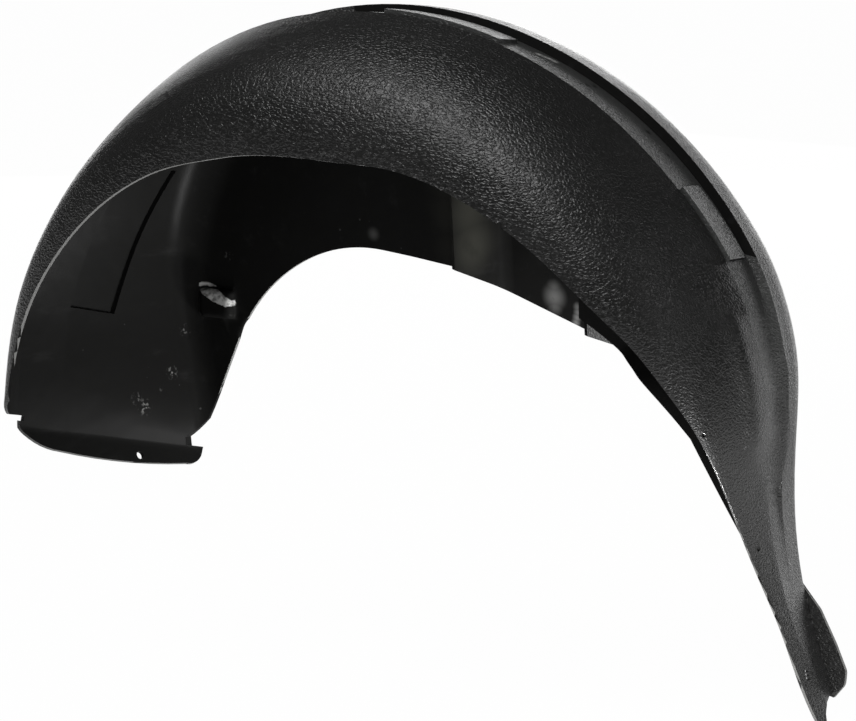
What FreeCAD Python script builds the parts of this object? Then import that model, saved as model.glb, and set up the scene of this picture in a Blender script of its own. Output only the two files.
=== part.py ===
"""Wheel-arch liner (inner mudguard): one vacuum-formed plastic sheet over a car's wheel.

X runs along the car, Y across it towards the middle of the car, and Z up, in millimetres. The arch is worked
out about the wheel's centre, with Y = 0 at the trimmed edge on the outside of the car, and the finished sheet
is moved at the end, so that its origin is the screw hole in the flange at the end of the leg.
"""
import FreeCAD, Part
import math
import os
from collections import namedtuple

V = FreeCAD.Vector
NODE = "wheel_arch_liner"

# The sheet
SHEET = 2.5

# The line of the crest, seen along the axle: a leg, two tangent arcs, a knee and a tail that kicks out
LEG_CENTRE_X = 0.0
LEG_CENTRE_Z = 216.0
LEG_RADIUS = 266.0
CROWN_RADIUS = 360.0
ARCS_MEET = 100.0
KNEE_STARTS = 38.0
KNEE_RADIUS = 200.0
TAIL_STRAIGHT = 40.0
KICK_RADIUS = 400.0
KICK_ANGLE = 14.0
TAIL_END = 86.0
LEG_STRAIGHT = 52.0
FLANGE_BEND_RADIUS = 14.0
FLANGE_BEND = 28.0
FLANGE_FLAT = 15.0
FLANGE_REACH = 190.0

# The section across the sheet
STRIP_WIDTH = 37.0
STEP_HEIGHT = 6.5
STEP_RUN = 3.0
CROWN_WALL = 178.0
LEG_WALL = 188.0
TAIL_WALL = 156.0
WALL_DRAFT = 5.0
CORNER_RADIUS = 34.0
SHOULDER_RISE = (0.08, 0.55)
SHOULDER_LEAN = (0.45, 0.82)

# The opening in the wall towards the car, left for the axle and the spring
OPENING_START = 150.0
OPENING_DEPTH = 120.0
OPENING_LINE = [(-216, 138), (-206, 151), (-182, 212), (-124, 277), (-54, 291),
                (60, 281), (170, 237), (240, 187), (290, 116)]
BULGE_OPENING = [(-10, 294), (130, 249)]
BULGE_SLOPE = 0.34
OPENING_FLOOR = -40.0

# Pads and bulges, pressed out of the sheet
PAD_RISE = 3.0
PAD_DRAFT = 1.0
PAD_SINK = 2.0
PAD_POCKET = 5.0
PAD_SECTIONS = 5
STRIP_PAD = (97.0, 123.0)
STRIP_PAD_TURNS = [(90.0, 74.0), (45.0, 32.8)]
LEG_PAD_LOW = (72.0, 105.0)
LEG_PAD_HIGH = (118.0, 160.0)
LEG_PAD_TURNS = (172.0, 147.0)
PLATEAU_LOW = (70.0, 76.0)
PLATEAU_HIGH = (116.0, 112.0)
PLATEAU_START = 20.0
PLATEAU_LENGTH = 90.0
PLATEAU_RISES = [0.3, 1.2, 2.2, 3.0, 3.5]
BULGE_BOTTOM = 190.0
BULGE_INSIDE = 180.3
BULGE_MOUTH = 165.0
BULGE_LEFT = 10.0
BULGE_RIGHT = 127.0
BULGE_TOP = 418.0
BULGE_DEPTH = 54.0
BULGE_CORNER = 16.0
BULGE_TRIM_BELOW = 10.0
BULGE_SIDE_LEAN = 0.10
BULGE_ROOF_LEAN = 0.40

# The fin on the tail, and the trimming of the tail's far corner below it, as (across, height)
FIN_CORNER = 8.0
FIN_OUTLINE = [(333, 100), (354, 77), (367, 54), (376, 35), (375, 25), (366, 15), (362, 16), (335, 88)]
FIN_ROUND_FROM = 370.0
TAIL_TRIM = [(130, -8), (132, 8), (136, 15), (144, 18), (166, 20), (166, -8)]
TAIL_TRIM_FROM = 330.0
TAIL_TRIM_LENGTH = 70.0

# The flange's trimmed outline, across the sheet and below the fold, as three arcs that follow each other
FLANGE_TRIM = [(27, 0), (37, 12), (56, 18), (110, 20.5), (166, 16), (181, 8.5), (186, -3)]
FLANGE_TRIM_TOP = -30.0

# The ledge pressed into the corner of the leg, and the trimming at the leg's lower near corner
LEDGE_LOW = V(-214, 181, 228)
LEDGE_HIGH = V(-184, 196, 250)
LEDGE_ROUND = 5.0
LIP_ROUND = 28.0
LIP_FOOT = 170.0
NOTCH_REACH = 32.0
NOTCH_WIDTH = 4.0
NOTCH_LEVEL = 175.0
NOTCH_SLOPE = -12.0

# Fixings and the chip in the trimmed edge
SCREW_HOLE = 6.0
FLANGE_HOLE_ACROSS = 126.0
FLANGE_HOLE_BELOW = 14.0
TAIL_HOLE = 4.0
TAIL_HOLE_DOWN = 91.0
TAIL_HOLE_ACROSS = 87.0
EDGE_HOLE = 3.0
EDGE_HOLE_DOWN = 4.0
EDGE_HOLE_ACROSS = 36.0
SLOT_DOWN = 184.0
SLOT_ACROSS = 119.0
SLOT_LENGTH = 9.0
SLOT_WIDTH = 4.0
CHIP_TURN = 54.5
CHIP_WIDTH = 6.0

# How finely the sections follow each other, and the strips that make up a round stretch
SHOULDER_STRIPS = 10
CORNER_STRIPS = 6
STATION_SPACING = 36.0

Station = namedtuple("Station", "turn beyond near drop crest draft step wall corner depth slant strip")

# Sections by hand, from the leg's end to the tail's tip. Turn is the direction that the crest faces, in degrees
# from +X, and beyond is the distance past the arcs. Near is Y at the trimmed edge, drop is how far that edge lies
# inside the crest, and draft, slant and the rest shape the section.
FLANGE_BEND_LENGTH = math.radians(FLANGE_BEND) * FLANGE_BEND_RADIUS
LEG_LENGTH = LEG_STRAIGHT + FLANGE_BEND_LENGTH + FLANGE_FLAT
KICK_LENGTH = math.radians(KICK_ANGLE) * KICK_RADIUS
TAIL_LENGTH = TAIL_STRAIGHT + KICK_LENGTH + TAIL_END
STATIONS = [
    Station(180, LEG_STRAIGHT, 0, 11, 26, -0.33, 0, LEG_WALL, 20, 40, 0.22, STRIP_WIDTH),
    Station(180, 34, 0, 13, 27, -0.33, 0, LEG_WALL, 22, 46, 0.22, STRIP_WIDTH),
    Station(171, 0, 0, 30, 38, -0.28, 0, LEG_WALL, 29, 78, 0.20, STRIP_WIDTH),
    Station(154, 0, 0, 50, 60, -0.20, 0, LEG_WALL, CORNER_RADIUS, 122, 0.14, STRIP_WIDTH),
    Station(133, 0, 0, 70, 82, -0.14, 2, 185, CORNER_RADIUS, 170, 0.05, STRIP_WIDTH),
    Station(108, 0, 0, 89, 92, -0.13, 5, 182, CORNER_RADIUS, 205, 0, STRIP_WIDTH),
    Station(88, 0, 0, 94, 95, -0.13, STEP_HEIGHT, CROWN_WALL, CORNER_RADIUS, 220, 0, STRIP_WIDTH),
    Station(72, 0, 0, 84, 95, -0.13, STEP_HEIGHT, 177, CORNER_RADIUS, 222, 0, STRIP_WIDTH),
    Station(54, 0, 0, 73, 95, -0.13, STEP_HEIGHT, 174, 32, 208, 0, STRIP_WIDTH),
    Station(38, 0, 2, 59, 95, -0.13, STEP_HEIGHT, 169, 30, 182, 0, 34),
    Station(11, 0, 18, 32, 95, -0.14, STEP_HEIGHT, 160, 25, 166, 0, 28),
    Station(0, 26, 42, 7, 96, -0.15, 5, 153, 19, 124, 0, 24),
    Station(0, 52, 58, 4, 100, -0.17, 2, 153, 13, 92, 0, 20),
    Station(0, 154, 101, 0.8, 116, -0.28, 0, TAIL_WALL, 6, 12, 0, 12),
    Station(0, 190, 109.5, 0.6, 128, -0.26, 0, TAIL_WALL, 5, 8, 0, 7),
    Station(0, TAIL_LENGTH, 122, 0.4, 140, -0.25, 0, TAIL_WALL, 4, 5, 0, 4),
]


def facing(degrees):
    """The unit direction in the XZ plane that lies at an angle from +X."""
    angle = math.radians(degrees)
    return math.cos(angle), math.sin(angle)


def along(point, direction, distance):
    """A point moved along a direction in the XZ plane."""
    return point[0] + direction[0] * distance, point[1] + direction[1] * distance


ARCS = [(180, ARCS_MEET, LEG_RADIUS), (ARCS_MEET, KNEE_STARTS, CROWN_RADIUS), (KNEE_STARTS, 0, KNEE_RADIUS)]
LEG_CENTRE = (LEG_CENTRE_X, LEG_CENTRE_Z)
CROWN_CENTRE = along(LEG_CENTRE, facing(ARCS_MEET), LEG_RADIUS - CROWN_RADIUS)
KNEE_CENTRE = along(CROWN_CENTRE, facing(KNEE_STARTS), CROWN_RADIUS - KNEE_RADIUS)
LEG_TOP = along(LEG_CENTRE, facing(180), LEG_RADIUS)
TAIL_TOP = along(KNEE_CENTRE, facing(0), KNEE_RADIUS)


def past_bend(start, straight, radius, bend, side, distance):
    """A line going down that bends sideways after a straight stretch: point and turning angle at a distance."""
    if distance <= straight:
        return (start[0], start[1] - distance), 0.0
    angle = min((distance - straight) / radius, math.radians(bend))
    point = (start[0] + side * radius * (1 - math.cos(angle)), start[1] - straight - radius * math.sin(angle))
    rest = distance - straight - radius * angle
    heading = (side * math.sin(angle), -math.cos(angle))
    return along(point, heading, max(rest, 0.0)), math.degrees(angle)


def crest_line(turn, beyond):
    """Point on the crest line in the XZ plane, and the direction that the sheet faces there."""
    if turn >= 180:
        point, angle = past_bend(LEG_TOP, LEG_STRAIGHT, FLANGE_BEND_RADIUS, FLANGE_BEND, 1, beyond)
        return point, 180 + angle
    if turn <= 0:
        point, angle = past_bend(TAIL_TOP, TAIL_STRAIGHT, KICK_RADIUS, KICK_ANGLE, 1, beyond)
        return point, angle
    if turn >= ARCS_MEET:
        return along(LEG_CENTRE, facing(turn), LEG_RADIUS), turn
    if turn >= KNEE_STARTS:
        return along(CROWN_CENTRE, facing(turn), CROWN_RADIUS), turn
    return along(KNEE_CENTRE, facing(turn), KNEE_RADIUS), turn


def place(station):
    """How far a station lies along the crest line from the top of the leg."""
    if station.turn >= 180:
        return -station.beyond
    arcs = sum(math.radians(start - max(stop, min(start, station.turn))) * radius for start, stop, radius in ARCS)
    return arcs + station.beyond


def blended(turn, beyond):
    """A station between those in the table, each value on a smooth curve through its neighbours' values."""
    wanted = Station(turn, beyond, *[0] * 10)
    at = place(wanted)
    places = [place(station) for station in STATIONS]
    index = max(i for i in range(len(places) - 1) if places[i] <= at + 1e-6)
    span = places[index + 1] - places[index]
    t = min(max((at - places[index]) / span, 0.0), 1.0)
    values = []
    for field in Station._fields[2:]:
        here = getattr(STATIONS[index], field)
        there = getattr(STATIONS[index + 1], field)
        leaving = slope_at(index, field, places) * span
        arriving = slope_at(index + 1, field, places) * span
        value = here * (1 + 2 * t) * (1 - t) ** 2 + leaving * t * (1 - t) ** 2
        value += there * t * t * (3 - 2 * t) + arriving * t * t * (t - 1)
        values.append(value)
    return Station(turn, beyond, *values)


def slope_at(index, field, places):
    """Slope of one value at a station in the table, kept flat at a peak and at the ends."""
    if index in (0, len(STATIONS) - 1):
        return 0.0
    low, mid, high = [getattr(STATIONS[i], field) for i in (index - 1, index, index + 1)]
    before = (mid - low) / (places[index] - places[index - 1])
    after = (high - mid) / (places[index + 1] - places[index])
    if before * after <= 0:
        return 0.0
    return 2 * before * after / (before + after)


def shoulder(station):
    """Points on the rounded shoulder from the trimmed edge up to the crest, as (across, height)."""
    width = station.crest - station.near
    edge = (station.near, -station.drop)
    rising, leaning = [(station.near + across * width, (up - 1) * station.drop)
                       for across, up in (SHOULDER_RISE, SHOULDER_LEAN)]
    crest = (station.crest, 0.0)
    points = []
    for i in range(SHOULDER_STRIPS + 1):
        t = i / SHOULDER_STRIPS
        weights = ((1 - t) ** 3, 3 * t * (1 - t) ** 2, 3 * t * t * (1 - t), t ** 3)
        points.append(tuple(sum(w * c[k] for w, c in zip(weights, (edge, rising, leaning, crest))) for k in (0, 1)))
    return points


def rounded(corner, before, after, radius):
    """Points on the arc that rounds a corner between two directions."""
    angle_in = math.atan2(before[1], before[0])
    turn = math.atan2(after[1], after[0]) - angle_in
    start = along(corner, before, -radius * math.tan(abs(turn) / 2))
    side = 1 if turn > 0 else -1
    centre = (start[0] - side * before[1] * radius, start[1] + side * before[0] * radius)
    angles = [angle_in - side * math.pi / 2 + turn * i / CORNER_STRIPS for i in range(CORNER_STRIPS + 1)]
    return [(centre[0] + radius * math.cos(a), centre[1] + radius * math.sin(a)) for a in angles]


def outer_line(station):
    """The outer skin of a section as (across, height) points: shoulder, strip, step, band, corner and wall."""
    crest = station.crest
    level = lambda across: station.draft * (across - crest)
    foot = crest + station.strip
    top = foot + STEP_RUN
    slope = math.hypot(1, station.draft)
    band = (1 / slope, station.draft / slope)
    draft = math.radians(WALL_DRAFT)
    wall = (math.sin(draft), -math.cos(draft))
    corner = (station.wall, level(station.wall) + station.step)
    end = (station.wall + math.tan(draft) * station.depth, corner[1] - station.depth)
    strip = [(foot, level(foot)), (top, level(top) + station.step)]
    return shoulder(station) + strip + rounded(corner, band, wall, station.corner) + [end]


def inset(line, distance):
    """The same line moved into the sheet by a distance, mitred where it turns."""
    moved = []
    for i, point in enumerate(line):
        sides = []
        for a, b in ((i - 1, i), (i, i + 1)):
            if a >= 0 and b < len(line):
                dx = line[b][0] - line[a][0]
                dz = line[b][1] - line[a][1]
                length = math.hypot(dx, dz)
                sides.append((-dz / length, dx / length))
        nx = sum(side[0] for side in sides) / len(sides)
        nz = sum(side[1] for side in sides) / len(sides)
        scale = distance / (nx * nx + nz * nz)
        moved.append((point[0] - nx * scale, point[1] - nz * scale))
    return moved


def in_space(station, point):
    """A section's (across, height) point in space."""
    base, turn = crest_line(station.turn, station.beyond)
    out = facing(turn)
    down = facing(turn + 90) if turn >= 90 else facing(turn - 90)
    shift = station.slant * (point[0] - station.crest)
    flat = along(along(base, out, point[1]), down, shift)
    return V(flat[0], point[0], flat[1])


def section(station):
    """The closed section of the sheet as points in space: the outer skin out and the inner skin back."""
    outer = outer_line(station)
    return [in_space(station, point) for point in outer + inset(outer, SHEET)[::-1]]


def lengthwise(points, places):
    """A smooth curve along the sheet, through the same point of every section."""
    curve = Part.BSplineCurve()
    curve.interpolate(Points=points, Parameters=places)
    return curve


def skinned(sections, places):
    """A closed solid through sections with the same number of points: straight across and smooth lengthwise."""
    curves = [lengthwise(list(points), places) for points in zip(*sections)]
    faces = []
    for left, right in zip(curves, curves[1:] + curves[:1]):
        surface = Part.BSplineSurface()
        poles = [list(pair) for pair in zip(left.getPoles(), right.getPoles())]
        surface.buildFromPolesMultsKnots(poles, left.getMultiplicities(), [2, 2], left.getKnots(), [0.0, 1.0],
                                         False, False, left.Degree, 1)
        faces.append(surface.toShape())
    for end in (sections[0], sections[-1]):
        faces.append(Part.Face(Part.makePolygon(end + end[:1])))
    solid = Part.makeSolid(Part.makeShell(faces))
    if solid.Volume < 0:
        solid.reverse()
    return solid


def at_distance(distance):
    """The station at a distance along the crest line from the top of the leg."""
    if distance <= 0:
        return blended(180, -distance)
    for start, stop, radius in ARCS:
        length = math.radians(start - stop) * radius
        if distance <= length:
            return blended(start - math.degrees(distance / radius), 0)
        distance -= length
    return blended(0, min(distance, TAIL_LENGTH))


def station_list():
    """Stations evenly spaced along the sheet, so that the skin runs smoothly through them."""
    arcs = sum(math.radians(start - stop) * radius for start, stop, radius in ARCS)
    length = LEG_STRAIGHT + arcs + TAIL_LENGTH
    count = round(length / STATION_SPACING)
    return [at_distance(length * i / count - LEG_STRAIGHT) for i in range(count + 1)]


def formed_sheet():
    """The sheet as it is formed, before anything is trimmed or pressed out of it."""
    return skinned([section(station) for station in STATION_LIST], [place(s) for s in STATION_LIST])


def outer_height(station, across):
    """Height of the outer skin at a distance across the sheet."""
    line = outer_line(station)
    for (y0, h0), (y1, h1) in zip(line, line[1:]):
        if y0 <= across <= y1 and y1 > y0:
            return h0 + (h1 - h0) * (across - y0) / (y1 - y0)
    return line[-1][1]


def pressed_block(stations, sides, rises, margin, foot):
    """A block over part of the sheet, as high as the pad there, made smaller all round by a margin."""
    sections = []
    for station, (low, high), rise in zip(stations, sides, rises):
        corners = []
        for across, lean in ((low + margin, PAD_DRAFT), (high - margin, -PAD_DRAFT)):
            skin_height = outer_height(station, across)
            level = max(station.draft * (across - station.crest), skin_height)
            corners.append(((across, skin_height - foot), (across + lean, level + rise - margin)))
        (a, b), (d, c) = corners
        sections.append([in_space(station, point) for point in (a, b, c, d)])
    return skinned(sections, [place(station) for station in stations])


def press(sheet, start, stop, low, high, rises):
    """Press a pad out of the sheet between two places along it, hollow on the inside.

    Low and high are the pad's sides across the sheet, each given at the start and at the stop.
    """
    steps = len(rises) - 1
    shares = [i / steps for i in range(steps + 1)]
    sides = [tuple(side[0] + (side[1] - side[0]) * share for side in (low, high)) for share in shares]
    full = [at_distance(start + (stop - start) * share) for share in shares]
    small = [at_distance(start + SHEET + (stop - start - 2 * SHEET) * share) for share in shares]
    block = pressed_block(full, sides, rises, 0.0, PAD_SINK)
    pocket = pressed_block(small, sides, rises, SHEET, PAD_POCKET)
    return sheet.fuse(block).cut(pocket)


def on_arc(turn):
    """Distance along the crest line to the place where the sheet faces a direction."""
    return place(Station(turn, 0, *[0] * 10))


def pads(sheet):
    """The raised pads on the strip and on the leg, and the plateau above the tail."""
    low, high = STRIP_PAD
    even = [PAD_RISE] * PAD_SECTIONS
    for first, last in STRIP_PAD_TURNS:
        sheet = press(sheet, on_arc(first), on_arc(last), (low, low), (high, high), even)
    first, last = LEG_PAD_TURNS
    sheet = press(sheet, on_arc(first), on_arc(last), LEG_PAD_LOW, LEG_PAD_HIGH, even)
    start = on_arc(PLATEAU_START)
    return press(sheet, start, start + PLATEAU_LENGTH, PLATEAU_LOW, PLATEAU_HIGH, PLATEAU_RISES)


def opening(sheet):
    """Cut the opening in the wall towards the car: a rough circle about the axle, straight down at the leg."""
    def point(xz):
        return V(xz[0], OPENING_START, xz[1])
    leg_foot, leg_knee, leg_end, top_left, crown, top_mid, right, side, low_right = [point(p) for p in OPENING_LINE]
    foot = V(low_right.x, OPENING_START, OPENING_FLOOR)
    edges = [
        Part.LineSegment(leg_foot, leg_knee).toShape(),
        Part.LineSegment(leg_knee, leg_end).toShape(),
        Part.Arc(leg_end, top_left, crown).toShape(),
        Part.LineSegment(crown, top_mid).toShape(),
        Part.Arc(top_mid, right, side).toShape(),
        Part.LineSegment(side, low_right).toShape(),
        Part.LineSegment(low_right, foot).toShape(),
        Part.LineSegment(foot, V(leg_foot.x, OPENING_START, OPENING_FLOOR)).toShape(),
        Part.LineSegment(V(leg_foot.x, OPENING_START, OPENING_FLOOR), leg_foot).toShape(),
    ]
    return sheet.cut(Part.Face(Part.Wire(edges)).extrude(V(0, OPENING_DEPTH, 0)))


def bulge(sheet):
    """The bulge in the wall that makes room beside the wheel, cut off on a slant and open below."""
    def block(margin, mouth):
        bottom = BULGE_BOTTOM - margin
        back = BULGE_INSIDE + BULGE_DEPTH - margin
        ends = []
        for y in (mouth, back):
            side = margin + BULGE_SIDE_LEAN * (y - BULGE_INSIDE)
            top = BULGE_TOP - margin - BULGE_ROOF_LEAN * (y - BULGE_INSIDE)
            ends.append((BULGE_LEFT + side, BULGE_RIGHT - side, top))
        (left, right, top), (far_left, far_right, far_top) = ends
        box = Part.makeWedge(left, mouth, bottom, bottom, far_left, right, back, top, far_top, far_right)
        rounded_edges = [edge for edge in box.Edges if edge.CenterOfMass.y > mouth + SHEET
                         and edge.CenterOfMass.z > bottom + SHEET]
        box = box.makeFillet(BULGE_CORNER - margin, rounded_edges)
        box.rotate(V(0, BULGE_INSIDE, BULGE_TOP), V(1, 0, 0), WALL_DRAFT)
        return box
    (x0, z0), (x1, z1) = BULGE_OPENING
    floor = BULGE_BOTTOM - BULGE_TRIM_BELOW
    below = [V(x, BULGE_INSIDE, z) for x, z in ((x0, z0), (x1, z1), (x1, floor), (x0, floor))]
    reach = V(0, 1, -BULGE_SLOPE) * BULGE_DEPTH * 2
    trim = Part.Face(Part.makePolygon(below + below[:1])).extrude(reach)
    return sheet.fuse(block(0.0, BULGE_INSIDE).cut(trim)).cut(block(SHEET, BULGE_MOUTH))


def fin(sheet):
    """The flap that stands out from the far side of the tail."""
    corners = [V(x, TAIL_WALL - SHEET, z) for x, z in FIN_OUTLINE]
    plate = Part.Face(Part.makePolygon(corners + corners[:1])).extrude(V(0, SHEET, 0))
    tips = [e for e in plate.Edges if abs(e.tangentAt(0).y) > 0.9 and e.CenterOfMass.x > FIN_ROUND_FROM]
    trim = Part.makePolygon([V(TAIL_TRIM_FROM, y, z) for y, z in TAIL_TRIM + TAIL_TRIM[:1]])
    trim = Part.Face(trim).extrude(V(TAIL_TRIM_LENGTH, 0, 0))
    return sheet.cut(trim).fuse(plate.makeFillet(FIN_CORNER, tips))


def flange_across():
    """How the flange runs across the sheet: its start at the crest, and the step for each millimetre across."""
    leg = STATION_LIST[0]
    start = in_space(leg, (leg.crest, 0.0))
    return start, in_space(leg, (leg.crest + 1, leg.draft)) - start


def flange(sheet):
    """The flange at the leg's end: the sheet bends in towards the wheel below the fold."""
    start, across = flange_across()
    thick = SHEET * math.hypot(1, STATION_LIST[0].draft)
    bend = LEG_STRAIGHT + FLANGE_BEND_LENGTH
    side = []
    for depth in (0.0, thick):
        points = []
        for distance in (LEG_STRAIGHT, bend - FLANGE_BEND_LENGTH / 2, bend, LEG_LENGTH):
            (x, z), turn = crest_line(180, distance)
            out = facing(turn)
            points.append(V(x - out[0] * depth, start.y, z - out[1] * depth))
        side.append(points)
    outer, inner = side
    edges = [
        Part.Arc(outer[0], outer[1], outer[2]).toShape(),
        Part.LineSegment(outer[2], outer[3]).toShape(),
        Part.LineSegment(outer[3], inner[3]).toShape(),
        Part.LineSegment(inner[3], inner[2]).toShape(),
        Part.Arc(inner[2], inner[1], inner[0]).toShape(),
        Part.LineSegment(inner[0], outer[0]).toShape(),
    ]
    plate = Part.Face(Part.Wire(edges)).extrude(across * (FLANGE_REACH - start.y))
    return sheet.fuse(plate.common(flange_trim()))


def flange_trim():
    """A block with the outline that the flange is trimmed to, running through the flange."""
    points = [flange_point(a, below)[0] for a, below in FLANGE_TRIM]
    near_top, far_top = [flange_point(a, FLANGE_TRIM_TOP)[0] for a in (FLANGE_TRIM[0][0], FLANGE_TRIM[-1][0])]
    edges = [Part.Arc(*points[i:i + 3]).toShape() for i in (0, 2, 4)]
    edges.append(Part.LineSegment(points[-1], far_top).toShape())
    edges.append(Part.LineSegment(far_top, near_top).toShape())
    edges.append(Part.LineSegment(near_top, points[0]).toShape())
    wire = Part.Wire(edges)
    normal = flange_point(0, 0)[1]
    wire.translate(normal * -FLANGE_FLAT)
    return Part.makeFace(wire, "Part::FaceMakerSimple").extrude(normal * 2 * FLANGE_FLAT)


def flange_point(across, below):
    """A point in the plane of the flange, across the sheet and below the fold, and the way the flange faces."""
    start, step = flange_across()
    (x, z), turn = crest_line(180, LEG_LENGTH)
    heading = facing(turn + 90)
    down = V(heading[0], 0, heading[1])
    foot = V(x, start.y, z) + down * (LEG_STRAIGHT + below - LEG_LENGTH)
    return foot + step * (across - start.y), step.cross(down).normalize()


def sheet_point(distance, across):
    """A point on the outer skin at a distance along the crest line, and the way the sheet faces there."""
    def at(further, aside):
        station = at_distance(distance + further)
        return in_space(station, (across + aside, outer_height(station, across + aside)))
    normal = (at(1, 0) - at(-1, 0)).cross(at(0, 2) - at(0, 0)).normalize()
    return at(0, 0), normal


def ledge(sheet):
    """The small ledge pressed in at the corner of the leg, hollow from outside."""
    size = LEDGE_HIGH - LEDGE_LOW
    block = Part.makeBox(size.x, size.y, size.z, LEDGE_LOW)
    near = [edge for edge in block.Edges if edge.CenterOfMass.y < LEDGE_LOW.y + LEDGE_ROUND]
    block = block.makeFillet(LEDGE_ROUND, near)
    hollow = Part.makeBox(size.x - 2 * SHEET, size.y, size.z - 2 * SHEET, LEDGE_LOW + V(SHEET, SHEET, SHEET))
    return sheet.fuse(block).cut(hollow)


def leg_trim(sheet):
    """Round the lip's lower corner on the leg, and cut the notch between the lip and the flange."""
    left = LEG_TOP[0] - SHEET
    length = LIP_ROUND * 2
    corner = Part.makeBox(length, LIP_ROUND * 2, LIP_ROUND * 2, V(left, -LIP_ROUND, LIP_FOOT - LIP_ROUND))
    corner = corner.cut(Part.makeCylinder(LIP_ROUND, length, V(left, LIP_ROUND, LIP_FOOT + LIP_ROUND), V(1, 0, 0)))
    keep = Part.makeBox(length, LIP_ROUND * 2, LIP_ROUND * 2, V(left, LIP_ROUND, LIP_FOOT - LIP_ROUND))
    notch = Part.makeBox(length, NOTCH_REACH * 2, NOTCH_WIDTH, V(left, -NOTCH_REACH, -NOTCH_WIDTH / 2))
    notch.rotate(V(left, 0, 0), V(1, 0, 0), NOTCH_SLOPE)
    notch.translate(V(0, 0, NOTCH_LEVEL))
    return sheet.cut(corner.cut(keep)).cut(notch)


def drilled(sheet, point, direction, diameter):
    """A round hole through the sheet."""
    reach = 4 * SHEET
    return sheet.cut(Part.makeCylinder(diameter / 2, 2 * reach, point - direction * reach, direction))


def fixings(sheet):
    """The screw holes in the flange and the tail, the slot near the tail's tip and the chip in the trimmed edge."""
    knee = on_arc(0)
    holes = [(TAIL_HOLE_DOWN, TAIL_HOLE_ACROSS, TAIL_HOLE), (EDGE_HOLE_DOWN, EDGE_HOLE_ACROSS, EDGE_HOLE)]
    for share in (0.0, 0.5, 1.0):
        holes.append((SLOT_DOWN + share * (SLOT_LENGTH - SLOT_WIDTH), SLOT_ACROSS, SLOT_WIDTH))
    sheet = drilled(sheet, *flange_point(FLANGE_HOLE_ACROSS, FLANGE_HOLE_BELOW), SCREW_HOLE)
    for down, across, diameter in holes:
        sheet = drilled(sheet, *sheet_point(knee + down, across), diameter)
    return drilled(sheet, *sheet_point(on_arc(CHIP_TURN), 0.0), CHIP_WIDTH)


def main():
    sheet = formed_sheet()
    for step in (opening, bulge, pads, ledge, fin, flange, leg_trim, fixings):
        sheet = step(sheet)
        print(step.__name__, sheet.isValid(), len(sheet.Solids), round(sheet.Volume), sheet.BoundBox)
    origin, normal = flange_point(FLANGE_HOLE_ACROSS, FLANGE_HOLE_BELOW)
    print("screw hole", tuple(origin), "facing", tuple(normal))
    tail_places = [(TAIL_HOLE_DOWN, TAIL_HOLE_ACROSS), (EDGE_HOLE_DOWN, EDGE_HOLE_ACROSS), (SLOT_DOWN, SLOT_ACROSS)]
    for down, across in tail_places:
        point, normal = sheet_point(on_arc(0) + down, across)
        print("tail", tuple(point - origin), "facing", tuple(normal))
    sheet.translate(-origin)
    os.makedirs("parts", exist_ok=True)
    sheet.exportStep(os.path.join("parts", NODE + ".step"))


STATION_LIST = station_list()
main()
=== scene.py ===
# %% [markdown]
# # A wheel-arch liner, dressed in Blender
#
# The object is the inner mudguard that sits over a car's wheel: one sheet of black plastic, drawn down
# over a mould while it is hot. The solid already has the arch, the step, the pads, the bulge, the flange
# and the holes. What is left for Blender is the finish: leather grain on the side that touched the
# grained roller, a smoother satin on the other side, pale trimmed edges, and the marks of handling.
#
# We start by loading the solid. It stays as it is: it is copied, two soft forms of the copy are relaxed,
# and the copy is dressed.

# %% Bring in the solid and measure it
import math
import bpy
import bmesh
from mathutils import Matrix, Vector
from mathutils.bvhtree import BVHTree


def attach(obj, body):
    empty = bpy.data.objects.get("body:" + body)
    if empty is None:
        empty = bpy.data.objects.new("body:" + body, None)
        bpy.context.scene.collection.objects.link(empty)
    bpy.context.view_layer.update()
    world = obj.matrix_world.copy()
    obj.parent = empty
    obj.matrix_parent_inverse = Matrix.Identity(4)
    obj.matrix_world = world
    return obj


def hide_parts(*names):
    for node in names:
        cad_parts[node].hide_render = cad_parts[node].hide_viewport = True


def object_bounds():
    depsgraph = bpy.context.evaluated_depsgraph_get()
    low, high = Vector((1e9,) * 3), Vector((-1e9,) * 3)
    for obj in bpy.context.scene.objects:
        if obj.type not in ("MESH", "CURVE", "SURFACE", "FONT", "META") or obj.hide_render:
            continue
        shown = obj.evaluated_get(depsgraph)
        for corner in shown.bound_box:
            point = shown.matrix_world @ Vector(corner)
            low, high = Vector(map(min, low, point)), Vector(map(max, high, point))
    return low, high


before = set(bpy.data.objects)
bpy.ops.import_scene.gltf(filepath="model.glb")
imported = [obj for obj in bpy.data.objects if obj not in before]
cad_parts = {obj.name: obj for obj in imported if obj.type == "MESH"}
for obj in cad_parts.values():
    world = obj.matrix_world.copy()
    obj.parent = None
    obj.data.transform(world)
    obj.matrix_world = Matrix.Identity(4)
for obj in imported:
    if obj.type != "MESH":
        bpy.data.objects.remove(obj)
cad_low, cad_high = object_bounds()
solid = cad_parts["wheel_arch_liner"]
print("solid box in metres:", [round(v, 4) for v in cad_low], "to", [round(v, 4) for v in cad_high])

# %% [markdown]
# ## Places on the arch
#
# The marks on the plastic have to sit at known places. The arch was drawn about the wheel's centre, in
# millimetres, while the model's origin is the screw hole in the flange. A small helper turns the first
# into the second, so every place below can be read as a distance from the wheel.

# %% From the wheel's centre to the model's origin
SCREW_HOLE_FROM_WHEEL = Vector((-228.0006, 126.0, 129.1070))
ARCH_CENTRE = (16.3, 123.4)
ARCH_RADIUS = 360.0
CREST_ACROSS = 95.0
STRIP_DRAFT = -0.13


def from_wheel(x, y, z):
    """A place given in millimetres from the wheel's centre, in the model's metres."""
    return (Vector((x, y, z)) - SCREW_HOLE_FROM_WHEEL) / 1000


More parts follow.
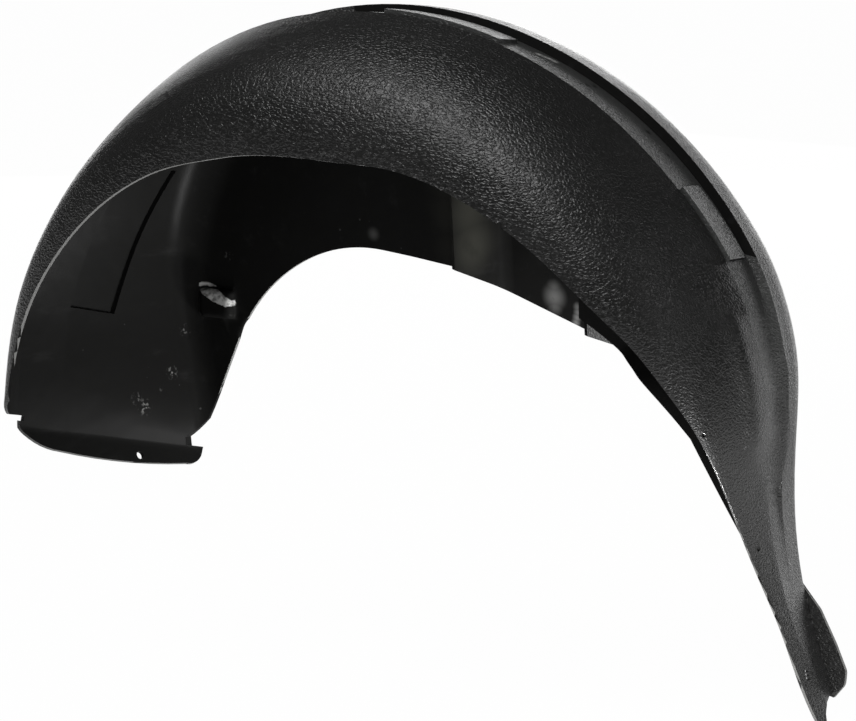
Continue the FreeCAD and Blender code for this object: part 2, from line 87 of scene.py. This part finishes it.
def on_strip(turn, across):
    """A place on the flat strip: the way the arch faces there, and millimetres across the sheet."""
    radius = ARCH_RADIUS + STRIP_DRAFT * (across - CREST_ACROSS)
    angle = math.radians(turn)
    x = ARCH_CENTRE[0] + radius * math.cos(angle)
    z = ARCH_CENTRE[1] + radius * math.sin(angle)
    return from_wheel(x, across, z)


print("wheel's centre in the model:", [round(v, 4) for v in from_wheel(0, 0, 0)])

# %% [markdown]
# ## The sheet
#
# The copy's triangles come from the solid face by face, so neighbouring faces don't share corners.
# Welding the corners lets smooth shading run over the whole sheet. A subdivision surface would also look
# smooth, but it would pull the trimmed edges in.

# %% Copy and weld the sheet
WELD = 0.00001
sheet_mesh = solid.data.copy()
sheet_mesh.name = "formed_sheet"
sheet_mesh.materials.clear()
if "custom_normal" in sheet_mesh.attributes:
    sheet_mesh.attributes.remove(sheet_mesh.attributes["custom_normal"])
shell = bmesh.new()
shell.from_mesh(sheet_mesh)
bmesh.ops.remove_doubles(shell, verts=shell.verts, dist=WELD)
bmesh.ops.dissolve_degenerate(shell, edges=shell.edges, dist=WELD)
print("welded sheet:", len(shell.verts), "corners,", len(shell.faces), "faces")

# %% [markdown]
# ## Outside, inside and cut edge
#
# The sheet has three kinds of surface. To tell a cut edge from a skin, a ray goes from each face into the
# plastic: through a skin it leaves again after one thickness of the sheet, and along a cut edge it
# travels much further. The low sides of the pads are deep as well, so a cut edge must also stand free,
# with no other skin close beside it. To tell the two skins apart, each face is asked whether it looks
# away from the hollow of the arch or into it. A few forms stand across the sheet, so their faces are
# judged by zone: the plateau, the fin, the ledge and the bulge. Painting faces by hand would do as well,
# but most of this rule still works when the solid changes.

# %% Sort the faces into the three finishes
RAY_START = 0.0002
DEEPEST_SKIN = 0.0088
# The fourth class is the painted highlight on the top of the ledge.
OUTSIDE, INSIDE, CUT, LEDGE_HIGHLIGHT = 0, 1, 2, 3
WALL_FROM = from_wheel(0, 186, 0).y
BULGE_SIDES = (from_wheel(4, 0, 0).x, from_wheel(132, 0, 0).x)
BULGE_CORE = from_wheel(68, 200, 330)
HOLLOW_DEPTH = 0.06
HOLLOW_ACROSS = 100.0
FREE_START = 0.0005
FREE_REACH = 0.008
FREE_DIRECTIONS = 8
WALL_TURN = -0.25
PLATEAU_TURN = -0.5
PLATEAU = (from_wheel(318, 54, 178), from_wheel(362, 126, 296))
PLATEAU_AND_END = (from_wheel(312, 54, 150), from_wheel(372, 130, 300))
FIN = (from_wheel(331, 100, 0), from_wheel(382, 190, 104))
LEDGE = (from_wheel(-226, 170, 214), from_wheel(-174, 206, 262))
BULGE_MOUTH = (from_wheel(4, 165, 284), from_wheel(134, 260, 430))


def within(place, zone):
    """Whether a place lies in a box."""
    low, high = zone
    return all(a <= p <= b for a, p, b in zip(low, place, high))


def hollow_core(place):
    """The point in the hollow that a face is judged from."""
    if place.y > WALL_FROM and BULGE_SIDES[0] < place.x < BULGE_SIDES[1]:
        return BULGE_CORE
    centre = from_wheel(ARCH_CENTRE[0], HOLLOW_ACROSS, ARCH_CENTRE[1])
    outward = Vector((place.x - centre.x, 0, place.z - centre.z))
    return centre + outward - outward.normalized() * HOLLOW_DEPTH


def is_cut(place, normal):
    """Whether a face is a trimmed edge: deep behind, and nothing of the sheet close beside it."""
    if any(within(place, zone) for zone in (PLATEAU, LEDGE, BULGE_MOUTH)):
        return False
    depth = rays.ray_cast(place - normal * RAY_START, -normal)[3]
    if depth is not None and depth < DEEPEST_SKIN:
        return False
    side = normal.orthogonal().normalized()
    other = normal.cross(side)
    for step in range(FREE_DIRECTIONS):
        angle = step * 2 * math.pi / FREE_DIRECTIONS
        beside = side * math.cos(angle) + other * math.sin(angle)
        if rays.ray_cast(place + normal * FREE_START, beside, FREE_REACH)[0] is not None:
            return False
    return True


def is_inside(place, normal):
    """Whether a face of a skin looks into the hollow."""
    if place.y > WALL_FROM and normal.y < WALL_TURN:
        return True
    if within(place, PLATEAU_AND_END):
        return normal.x < PLATEAU_TURN
    if within(place, FIN):
        return False
    return normal.dot(place - hollow_core(place)) <= 0


shell.normal_update()
rays = BVHTree.FromBMesh(shell)
counts = [0, 0, 0]
for face in shell.faces:
    place = face.calc_center_median()
    if is_cut(place, face.normal):
        face.material_index = CUT
    elif is_inside(place, face.normal):
        face.material_index = INSIDE
    else:
        face.material_index = OUTSIDE
    counts[face.material_index] += 1
print("faces outside, inside and cut:", counts)

# %% [markdown]
# ## Soft forms
#
# Hot plastic doesn't follow a mould into every corner. The plateau above the tail and the ledge in the
# leg have no crisp edges on the real part, so their triangles are divided until they are small and then
# relaxed: each corner moves towards the middle of its neighbours, again and again. Sculpting would give
# the same, but this can be repeated.

# %% Relax the plateau and the ledge
MOST_DIVISIONS = 6
PULL = 0.5


def relax(zone, longest, rounds):
    """Divide the sheet in a box into small triangles and smooth them."""
    for _ in range(MOST_DIVISIONS):
        inner = [e for e in shell.edges if all(within(v.co, zone) for v in e.verts)]
        long_edges = [e for e in inner if e.calc_length() > longest]
        if not long_edges:
            break
        bmesh.ops.subdivide_edges(shell, edges=long_edges, cuts=1)
        bmesh.ops.triangulate(shell, faces=[f for f in shell.faces if len(f.verts) > 3])
    soft = [v for v in shell.verts if within(v.co, zone) and not v.is_boundary]
    for _ in range(rounds):
        bmesh.ops.smooth_vert(shell, verts=soft, factor=PULL,
                              use_axis_x=True, use_axis_y=True, use_axis_z=True)
    return len(soft)


print("relaxed corners on the plateau:", relax(PLATEAU, longest=0.005, rounds=40))
print("relaxed corners on the ledge:", relax(LEDGE, longest=0.002, rounds=10))

# %% [markdown]
# ## The painted highlight on the ledge
#
# The top of the ledge gets a painted highlight in a long, sloping lens, where it catches the light. The
# triangles there are small by now, so the ones whose middle falls in an ellipse simply get a finish of
# their own. A mask in the shader would give a smoother rim; the rim made of these triangles is ragged.

# %% Find the faces of the painted highlight on the ledge
LENS_CENTRE = from_wheel(-199, 0, 246)
LENS_HALF = (0.016, 0.005)
LENS_SLOPE = -0.37


def on_lens(place):
    """Whether a place is in the long painted highlight along the top of the ledge."""
    along = place.x - LENS_CENTRE.x
    above = place.z - LENS_CENTRE.z - LENS_SLOPE * along
    return (along / LENS_HALF[0]) ** 2 + (above / LENS_HALF[1]) ** 2 < 1


for face in shell.faces:
    place = face.calc_center_median()
    if face.material_index == INSIDE and within(place, LEDGE) and on_lens(place):
        face.material_index = LEDGE_HIGHLIGHT
print("worn faces on the ledge:", sum(face.material_index == LEDGE_HIGHLIGHT for face in shell.faces))

# %% [markdown]
# ## Creases
#
# Smooth shading must stop where the sheet really turns: along the crest, the step, the pads' sides and
# every trimmed edge. Edges that turn by more than a limit are marked as sharp. The limit is larger than
# the small turns between the strips that make up a round stretch.

# %% Mark the creases
CREASE = math.radians(19)
shell.normal_update()
creases = 0
for edge in shell.edges:
    soft = all(within(v.co, LEDGE) for v in edge.verts)
    sharp = len(edge.link_faces) != 2 or (edge.calc_face_angle(0.0) > CREASE and not soft)
    edge.smooth = not sharp
    creases += sharp
for face in shell.faces:
    face.smooth = True
shell.to_mesh(sheet_mesh)
finished = BVHTree.FromBMesh(shell)
shell.free()
print("creased edges:", creases, "of", len(sheet_mesh.edges))

# %% The dressed sheet as an object
liner = bpy.data.objects.new("liner_sheet", sheet_mesh)
bpy.context.scene.collection.objects.link(liner)
even = liner.modifiers.new("even_shading", "WEIGHTED_NORMAL")
even.keep_sharp = True
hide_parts("wheel_arch_liner")
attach(liner, "root")
print("liner sheet stands for the solid:", liner.name)

# %% [markdown]
# ## Leather grain
#
# The plastic comes off the roller with a leather grain: small pebbles with fine creases between them,
# stretched along the arch where the sheet was drawn. A Voronoi texture measures the distance to the
# nearest crease, and a little noise bends the cells so that they don't look like crystals. Modelling it
# would need millions of faces, so it is a height for a Bump node. It is a node group, so that another
# finish could take it with its own settings.

# %% Node helpers
def put(tree, kind, **settings):
    """Add a node to a tree and set its options."""
    node = tree.nodes.new(kind)
    for name, value in settings.items():
        setattr(node, name, value)
    return node


def calculate(tree, operation, first, second):
    """A Math node on two inputs, each a socket or a number."""
    node = put(tree, "ShaderNodeMath", operation=operation)
    for slot, value in zip(node.inputs, (first, second)):
        if isinstance(value, (int, float)):
            slot.default_value = value
        else:
            tree.links.new(value, slot)
    return node.outputs[0]


def fade(tree, value, low, high, bottom=0.0, top=1.0):
    """A smooth fade from bottom to top while a value goes from low to high."""
    node = put(tree, "ShaderNodeMapRange", interpolation_type="SMOOTHSTEP")
    tree.links.new(value, node.inputs["Value"])
    node.inputs["From Min"].default_value = low
    node.inputs["From Max"].default_value = high
    node.inputs["To Min"].default_value = bottom
    node.inputs["To Max"].default_value = top
    return node.outputs["Result"]


def new_group(name, inputs, outputs):
    """A shader node group with number inputs, given with their defaults, and number outputs."""
    group = bpy.data.node_groups.new(name, "ShaderNodeTree")
    for label, value in inputs.items():
        socket = group.interface.new_socket(name=label, in_out="INPUT", socket_type="NodeSocketFloat")
        socket.default_value = value
    for label in outputs:
        group.interface.new_socket(name=label, in_out="OUTPUT", socket_type="NodeSocketFloat")
    return group, put(group, "NodeGroupInput"), put(group, "NodeGroupOutput")


print("helpers ready")

# %% The grain group
grain_settings = {"Cells per Metre": 400.0, "Wander": 1.2}
grain, grain_in, grain_out = new_group("leather_grain", grain_settings, ["Height", "Gloss"])
where = put(grain, "ShaderNodeTexCoord").outputs["Object"]
drawn = put(grain, "ShaderNodeMapping")
drawn.inputs["Scale"].default_value = (0.6, 1.0, 1.0)
grain.links.new(where, drawn.inputs["Vector"])
cells = put(grain, "ShaderNodeVectorMath", operation="SCALE")
grain.links.new(drawn.outputs["Vector"], cells.inputs[0])
grain.links.new(grain_in.outputs["Cells per Metre"], cells.inputs["Scale"])
bend = put(grain, "ShaderNodeTexNoise")
bend.inputs["Scale"].default_value = 0.8
bend.inputs["Detail"].default_value = 2.0
grain.links.new(cells.outputs[0], bend.inputs["Vector"])
push = put(grain, "ShaderNodeVectorMath", operation="SCALE")
grain.links.new(bend.outputs["Color"], push.inputs[0])
grain.links.new(grain_in.outputs["Wander"], push.inputs["Scale"])
bent = put(grain, "ShaderNodeVectorMath", operation="ADD")
grain.links.new(cells.outputs[0], bent.inputs[0])
grain.links.new(push.outputs[0], bent.inputs[1])
pebbles = put(grain, "ShaderNodeTexVoronoi", feature="DISTANCE_TO_EDGE")
pebbles.inputs["Scale"].default_value = 1.0
grain.links.new(bent.outputs[0], pebbles.inputs["Vector"])
rounds = fade(grain, pebbles.outputs["Distance"], 0.0, 0.32)
wrinkle = put(grain, "ShaderNodeTexNoise")
wrinkle.inputs["Scale"].default_value = 1.7
wrinkle.inputs["Detail"].default_value = 3.0
grain.links.new(bent.outputs[0], wrinkle.inputs["Vector"])
uneven = calculate(grain, "MULTIPLY", wrinkle.outputs["Fac"], 0.9)
grain.links.new(calculate(grain, "ADD", rounds, uneven), grain_out.inputs["Height"])
patches = put(grain, "ShaderNodeTexNoise")
patches.inputs["Scale"].default_value = 0.05
grain.links.new(cells.outputs[0], patches.inputs["Vector"])
grain.links.new(patches.outputs["Fac"], grain_out.inputs["Gloss"])
print("grain group:", len(grain.nodes), "nodes")

# %% [markdown]
# ## Handling marks
#
# A part that has lain in a store has fine rubs and pale specks. The group below gives two masks: long
# faint rubs, from noise that is stretched in one direction, and small specks, from the few Voronoi cells
# whose random value is high. Each finish takes as much of them as it needs.

# %% The handling group
marks_settings = {"Rubs per Metre": 60.0, "Specks per Metre": 110.0}
marks, marks_in, marks_out = new_group("handling_marks", marks_settings, ["Rubs", "Specks"])
where = put(marks, "ShaderNodeTexCoord").outputs["Object"]
turned = put(marks, "ShaderNodeMapping")
turned.inputs["Rotation"].default_value = (0.6, 0.3, 0.9)
turned.inputs["Scale"].default_value = (1.0, 0.12, 1.0)
marks.links.new(where, turned.inputs["Vector"])
rubs = put(marks, "ShaderNodeTexNoise")
rubs.inputs["Detail"].default_value = 5.0
rubs.inputs["Roughness"].default_value = 0.7
marks.links.new(turned.outputs["Vector"], rubs.inputs["Vector"])
marks.links.new(marks_in.outputs["Rubs per Metre"], rubs.inputs["Scale"])
marks.links.new(fade(marks, rubs.outputs["Fac"], 0.56, 0.76), marks_out.inputs["Rubs"])
dots = put(marks, "ShaderNodeTexVoronoi", feature="F1")
marks.links.new(where, dots.inputs["Vector"])
marks.links.new(marks_in.outputs["Specks per Metre"], dots.inputs["Scale"])
near = fade(marks, dots.outputs["Distance"], 0.06, 0.12, 1.0, 0.0)
split = put(marks, "ShaderNodeSeparateColor")
marks.links.new(dots.outputs["Color"], split.inputs[0])
rare = fade(marks, split.outputs[0], 0.90, 0.92)
marks.links.new(calculate(marks, "MULTIPLY", near, rare), marks_out.inputs["Specks"])
print("handling group:", len(marks.nodes), "nodes")

# %% [markdown]
# ## Marks and painted light at known places
#
# Some marks are seen at one place only: a white scratch and seven pinholes on the strip, painted dark as
# their shade, and pale scuffs inside the leg. Painted light sits at known places too: painted highlights
# on the wall and a painted lit side in the bulge. Each is a soft ball around a point. The distance from
# the surface to that point becomes a mask, and a group keeps the strongest of its family's masks.

# %% A group of soft spots
def spot_group(name, spots, grit, cover):
    """A group whose mask is up to 1 in balls, each a place, a radius and a strength, broken up by grit."""
    group, _, out = new_group(name, {}, ["Mask"])
    where = put(group, "ShaderNodeTexCoord").outputs["Object"]
    rough = put(group, "ShaderNodeTexNoise")
    rough.inputs["Scale"].default_value = grit
    rough.inputs["Detail"].default_value = 3.0
    group.links.new(where, rough.inputs["Vector"])
    total = None
    for place, radius, strength in spots:
        gap = put(group, "ShaderNodeVectorMath", operation="DISTANCE")
        group.links.new(where, gap.inputs[0])
        gap.inputs[1].default_value = place
        ball = fade(group, gap.outputs["Value"], 0.0, radius, strength, 0.0)
        total = ball if total is None else calculate(group, "MAXIMUM", total, ball)
    ragged = calculate(group, "MULTIPLY", total, fade(group, rough.outputs["Fac"], *cover))
    group.links.new(ragged, out.inputs["Mask"])
    return group


PINHOLES = [(63.5, 110), (63.0, 118), (62.8, 126), (53.9, 104), (53.9, 124), (50.1, 106), (50.1, 120)]
SCRATCH = [(70.6, 121), (70.0, 122.5), (69.4, 124), (68.8, 125)]
LEG_SCUFFS = [((-222, 162, 188), 7, 0.5), ((-222.6, 178, 217.5), 6, 0.45), ((-228, 134, 165), 8, 0.6),
              ((-231, 128, 172), 6, 0.5), ((-226, 150, 176), 4, 0.4), ((-190, 186, 275), 5, 0.4)]
# Painted light: the side of the bulge is painted paler where light falls on it.
BULGE_LIT_SIDE = [((13, 204, 352), 34, 0.9), ((13, 208, 326), 34, 0.9), ((13, 212, 300), 32, 0.9)]
# Painted highlights: soft pale spots on the wall where it catches the light.
WALL_HIGHLIGHTS = [((64, 246, 261), 13, 0.3), ((64, 246, 267), 9, 0.2), ((64, 246, 254), 9, 0.2),
              ((82, 246, 243), 5, 0.35), ((83, 246, 247), 5, 0.35), ((84, 246, 251), 5, 0.3),
              ((84, 246, 255), 5, 0.25), ((-62, 189, 302), 7, 0.15)]


def spots_from_wheel(spots):
    """Spots in millimetres from the wheel's centre, moved to the nearest skin, in the model's metres."""
    moved = []
    for place, size, strength in spots:
        nearest = finished.find_nearest(from_wheel(*place))[0]
        moved.append((nearest, size / 1000, strength))
    return moved


def spots_on_strip(places, radius):
    """Full-strength spots of one radius on the strip."""
    return [(on_strip(*place), radius, 1.0) for place in places]


pinholes = spot_group("pinholes", spots_on_strip(PINHOLES, 0.0036), 100.0, (0.0, 0.1))
scratch = spot_group("scratch", spots_on_strip(SCRATCH, 0.0048), 500.0, (0.35, 0.5))
leg_scuffs = spot_group("leg_scuffs", spots_from_wheel(LEG_SCUFFS), 380.0, (0.52, 0.66))
wall_highlight = spot_group("wall_painted_highlight", spots_from_wheel(WALL_HIGHLIGHTS), 160.0, (0.05, 0.35))
bulge_lit_side = spot_group("bulge_lit_side", spots_from_wheel(BULGE_LIT_SIDE), 45.0, (0.0, 0.5))
print("spots:", len(PINHOLES), "pinholes,", len(SCRATCH), "on the scratch,", len(LEG_SCUFFS), "scuffs")

# %% [markdown]
# ## The four finishes
#
# All four are the same black plastic. The outside takes the full grain and is satin, with a paler grey
# painted on the flat strip as a painted sheen. The inside is smoother and duller, with a slow waviness
# left
# by the vacuum. The cut edges are paler: a saw or a knife leaves a dull torn surface, and the grey is also
# a painted highlight along the thin edges. The painted highlight on the top of the ledge is the palest.

# %% Finish helpers
BLACK = (0.010, 0.010, 0.0097, 1.0)
# Painted shade in the pinholes, darker than the plastic itself.
PINHOLE_SHADE = (0.002, 0.002, 0.002, 1)
RUB_GREY = (0.04, 0.04, 0.04, 1)
# Colour of the painted light on the side of the bulge.
BULGE_LIT_GREY = (0.04, 0.04, 0.034, 1)
# Colour of the painted sheen on the flat strip.
SHEEN_GREY = (0.050, 0.051, 0.050, 1)
# Cut edges: the dull torn surface, and a painted highlight along the thin edges.
CUT_AND_HIGHLIGHT_GREY = (0.15, 0.15, 0.146, 1)
# Grey of the painted highlight on the ledge.
LEDGE_HIGHLIGHT_GREY = (0.16, 0.16, 0.155, 1)
SPECK_GREY = (0.2, 0.2, 0.2, 1)
SCUFF_GREY = (0.35, 0.35, 0.34, 1)
SCRATCH_WHITE = (0.5, 0.5, 0.49, 1)
# Colour of the painted highlights on the wall.
HIGHLIGHT_WHITE = (0.5, 0.5, 0.49, 1)
# Paler streaks in the painted highlight on the ledge.
LEDGE_HIGHLIGHT_WHITE = (0.62, 0.62, 0.61, 1)


def new_finish(name, roughness, specular):
    """A plain finish: the material, its tree and its shader."""
    material = bpy.data.materials.new(name)
    material.use_nodes = True
    tree = material.node_tree
    shader = tree.nodes["Principled BSDF"]
    shader.inputs["Base Color"].default_value = BLACK
    shader.inputs["Roughness"].default_value = roughness
    shader.inputs["Specular IOR Level"].default_value = specular
    return material, tree, shader


def place_group(tree, group):
    """Put a node group in a material."""
    return put(tree, "ShaderNodeGroup", node_tree=group)


def some_of(tree, mask, share):
    """A mask made weaker."""
    return calculate(tree, "MULTIPLY", mask, share)


def object_place(tree):
    """The place on the part that is being shaded."""
    return put(tree, "ShaderNodeTexCoord").outputs["Object"]


def paint(tree, below, mask, colour):
    """Lay a colour over another where a mask is 1."""
    mix = put(tree, "ShaderNodeMix", data_type="RGBA")
    tree.links.new(mask, mix.inputs["Factor"])
    if isinstance(below, tuple):
        mix.inputs[6].default_value = below
    else:
        tree.links.new(below, mix.inputs[6])
    mix.inputs[7].default_value = colour
    return mix.outputs[2]


def bump(tree, shader, height, strength, distance):
    """Feed a height to the shader's normal."""
    node = put(tree, "ShaderNodeBump")
    node.inputs["Strength"].default_value = strength
    node.inputs["Distance"].default_value = distance
    tree.links.new(height, node.inputs["Height"])
    tree.links.new(node.outputs["Normal"], shader.inputs["Normal"])


print("base colour:", BLACK[:3])

# %% Grained outside, with a painted sheen on the flat strip
# Painted sheen: the flat strip is painted paler, for the pale light that it mirrors.
SHEEN_FROM = from_wheel(0, 95, 200)
SHEEN_TO = from_wheel(0, 133, 290)
SHEEN_FADE = 0.003
grained, tree, shader = new_finish("grained_outside", 0.40, 0.5)
grain_node = place_group(tree, grain)
marks_node = place_group(tree, marks)
pin_node = place_group(tree, pinholes)
scratch_node = place_group(tree, scratch)
rubbed = paint(tree, BLACK, some_of(tree, marks_node.outputs["Rubs"], 0.25), RUB_GREY)
spread = put(tree, "ShaderNodeSeparateXYZ")
tree.links.new(object_place(tree), spread.inputs[0])
past_crest = fade(tree, spread.outputs["Y"], SHEEN_FROM.y, SHEEN_FROM.y + SHEEN_FADE)
before_step = fade(tree, spread.outputs["Y"], SHEEN_TO.y - SHEEN_FADE, SHEEN_TO.y, 1.0, 0.0)
above_tail = fade(tree, spread.outputs["Z"], SHEEN_FROM.z, SHEEN_TO.z)
on_flat = calculate(tree, "MULTIPLY", past_crest, before_step)
strip_sheen = calculate(tree, "MULTIPLY", on_flat, above_tail)
# Paint the sheen on the flat strip.
sheened = paint(tree, rubbed, strip_sheen, SHEEN_GREY)
scratched = paint(tree, sheened, scratch_node.outputs["Mask"], SCRATCH_WHITE)
# Paint the shade in the pinholes.
pinhole_shaded = paint(tree, scratched, pin_node.outputs["Mask"], PINHOLE_SHADE)
tree.links.new(pinhole_shaded, shader.inputs["Base Color"])
roughness = fade(tree, grain_node.outputs["Gloss"], 0.3, 0.7, 0.30, 0.38)
tree.links.new(roughness, shader.inputs["Roughness"])
bump(tree, shader, grain_node.outputs["Height"], 0.5, 0.0005)
print(grained.name, len(tree.nodes), "nodes")

# %% Smooth inside
smooth, tree, shader = new_finish("smooth_inside", 0.36, 0.02)
marks_node = place_group(tree, marks)
scuff_node = place_group(tree, leg_scuffs)
bulge_light_node = place_group(tree, bulge_lit_side)
wall_highlight_node = place_group(tree, wall_highlight)
rubbed = paint(tree, BLACK, some_of(tree, marks_node.outputs["Rubs"], 0.2), RUB_GREY)
specked = paint(tree, rubbed, some_of(tree, marks_node.outputs["Specks"], 0.25), SPECK_GREY)
scuffed = paint(tree, specked, scuff_node.outputs["Mask"], SCUFF_GREY)
# Paint the light on the side of the bulge.
bulge_lit = paint(tree, scuffed, bulge_light_node.outputs["Mask"], BULGE_LIT_GREY)
# Paint the highlights on the wall.
highlighted = paint(tree, bulge_lit, wall_highlight_node.outputs["Mask"], HIGHLIGHT_WHITE)
tree.links.new(highlighted, shader.inputs["Base Color"])
roughness = fade(tree, marks_node.outputs["Rubs"], 0.0, 1.0, 0.34, 0.5)
tree.links.new(roughness, shader.inputs["Roughness"])
waves = put(tree, "ShaderNodeTexNoise")
waves.inputs["Scale"].default_value = 26.0
waves.inputs["Detail"].default_value = 2.0
tree.links.new(object_place(tree), waves.inputs["Vector"])
bump(tree, shader, waves.outputs["Fac"], 0.35, 0.002)
print(smooth.name, len(tree.nodes), "nodes")

# %% Cut edge
cut, tree, shader = new_finish("cut_edge", 0.55, 0.4)
# Pale grey: partly the torn cut surface, partly a painted highlight along the edge.
shader.inputs["Base Color"].default_value = CUT_AND_HIGHLIGHT_GREY
print(cut.name, len(tree.nodes), "nodes")

# %% Painted highlight on the top of the ledge
highlight, tree, shader = new_finish("ledge_highlight", 0.4, 0.5)
highlight_streaks = put(tree, "ShaderNodeTexNoise")
highlight_streaks.inputs["Scale"].default_value = 260.0
tree.links.new(object_place(tree), highlight_streaks.inputs["Vector"])
# Paint the highlight on the ledge, with paler streaks.
streaked_highlight = paint(tree, LEDGE_HIGHLIGHT_GREY, fade(tree, highlight_streaks.outputs["Fac"], 0.35, 0.6), LEDGE_HIGHLIGHT_WHITE)
tree.links.new(streaked_highlight, shader.inputs["Base Color"])
print(highlight.name, len(tree.nodes), "nodes")

# %% Give the finishes to the sheet, in the order that its faces count them
for finish in (grained, smooth, cut, highlight):
    sheet_mesh.materials.append(finish)
print("finishes on the sheet:", [finish.name for finish in sheet_mesh.materials])

# %% [markdown]
# ## Floor, light and camera
#
# The picture has a plain white ground. The floor is pale and takes the part's soft shadow, and where the
# camera looks at it, most of its light is a plain white, so that it stays white without more light on the
# part. A large soft light hangs above and a little in front, which is what draws the bright grain along
# the shoulder. A weaker one on the right follows the shoulder down to the tail. Two white cards stand
# behind the part: black plastic shows what it mirrors, and seen at a shallow angle the strip, the tail
# and the left shoulder mirror the cards. A low fill on the right reaches in under the arch as far as the
# inside of the leg, and two small cards light the side of the bulge and the fin.

# %% White floor
floor_mesh = bpy.data.meshes.new("floor")
HALF_FLOOR = 9.0
FLOOR_GAP = 0.0005
WHITE_SHARE = 0.985
floor_height = cad_low[2] - FLOOR_GAP
corners = [(-1, -1), (1, -1), (1, 1), (-1, 1)]
floor_points = [(x * HALF_FLOOR, y * HALF_FLOOR, floor_height) for x, y in corners]
floor_mesh.from_pydata(floor_points, [], [(0, 1, 2, 3)])
floor = bpy.data.objects.new("floor", floor_mesh)
bpy.context.scene.collection.objects.link(floor)
paper, tree, shader = new_finish("white_paper", 0.9, 0.1)
shader.inputs["Base Color"].default_value = (0.85, 0.85, 0.85, 1)
white = put(tree, "ShaderNodeEmission")
seen = put(tree, "ShaderNodeLightPath")
direct = calculate(tree, "MAXIMUM", seen.outputs["Is Camera Ray"], seen.outputs["Is Glossy Ray"])
direct = calculate(tree, "MAXIMUM", direct, seen.outputs["Is Transmission Ray"])
blend = put(tree, "ShaderNodeMixShader")
tree.links.new(calculate(tree, "MULTIPLY", direct, WHITE_SHARE), blend.inputs["Fac"])
tree.links.new(shader.outputs["BSDF"], blend.inputs[1])
tree.links.new(white.outputs["Emission"], blend.inputs[2])
tree.links.new(blend.outputs["Shader"], tree.nodes["Material Output"].inputs["Surface"])
floor_mesh.materials.append(paper)
print("floor at", round(floor_height, 4))

# %% World
WORLD_LEVEL = 0.07
world = bpy.data.worlds.new("studio")
bpy.context.scene.world = world
world.use_nodes = True
tree = world.node_tree
background = tree.nodes["Background"]
seen = put(tree, "ShaderNodeLightPath")
strength = calculate(tree, "MAXIMUM", seen.outputs["Is Camera Ray"], WORLD_LEVEL)
tree.links.new(strength, background.inputs["Strength"])
background.inputs["Color"].default_value = (1, 1, 1, 1)
print("world level", WORLD_LEVEL, "and white to the camera")

# %% Lights
TARGET = from_wheel(123, 0, 255)


def soft_light(name, place, aim, width, depth, power):
    """A rectangular softbox at a place, looking at another."""
    data = bpy.data.lights.new(name, "AREA")
    data.shape = "RECTANGLE"
    data.size = width
    data.size_y = depth
    data.energy = power
    lamp = bpy.data.objects.new(name, data)
    lamp.location = place
    lamp.rotation_euler = (place - aim).to_track_quat("Z", "Y").to_euler()
    lamp.visible_camera = False
    bpy.context.scene.collection.objects.link(lamp)


def away(x, y, z, distance):
    """A place that many metres from the target, in a direction."""
    return TARGET + Vector((x, y, z)).normalized() * distance


soft_light("overhead_softbox", away(-0.22, -0.38, 0.90, 2.2), TARGET, 1.6, 0.45, 24.0)
soft_light("side_softbox", away(0.74, -0.02, 0.66, 2.4), TARGET, 0.6, 0.5, 4.5)
soft_light("white_card", away(-0.08, 0.97, 0.12, 2.5), TARGET, 2.6, 1.6, 25.0)
soft_light("left_card", away(-0.60, 0.78, 0.06, 2.5), TARGET, 1.6, 1.2, 12.0)
soft_light("leg_fill", away(0.95, -0.30, 0.0, 2.5), TARGET, 0.8, 0.6, 4.2)
soft_light("bulge_card", from_wheel(112, 236, 40), from_wheel(12, 208, 330), 0.08, 0.08, 2.0)
soft_light("fin_card", from_wheel(470, -40, 90), from_wheel(357, 140, 55), 0.12, 0.12, 0.7)
print("lights:", len(bpy.data.lights))

# %% Camera
AZIMUTH = math.radians(35)
ELEVATION = math.radians(10)
CAMERA_DISTANCE = 6.0
FOCAL_PIXELS = 8513.0
IMAGE_WIDTH = 856.0
camera_data = bpy.data.cameras.new("camera")
camera_data.sensor_width = 36.0
camera_data.lens = FOCAL_PIXELS / IMAGE_WIDTH * camera_data.sensor_width
camera_data.clip_end = 60.0
camera = bpy.data.objects.new("camera", camera_data)
level = Vector((math.sin(AZIMUTH), -math.cos(AZIMUTH), 0))
back = level * math.cos(ELEVATION) + Vector((0, 0, math.sin(ELEVATION)))
camera.location = TARGET + back * CAMERA_DISTANCE
camera.rotation_euler = back.to_track_quat("Z", "Y").to_euler()
bpy.context.scene.collection.objects.link(camera)
bpy.context.scene.camera = camera
bpy.context.scene.view_settings.view_transform = "Standard"
print("lens", round(camera_data.lens, 1), "mm")
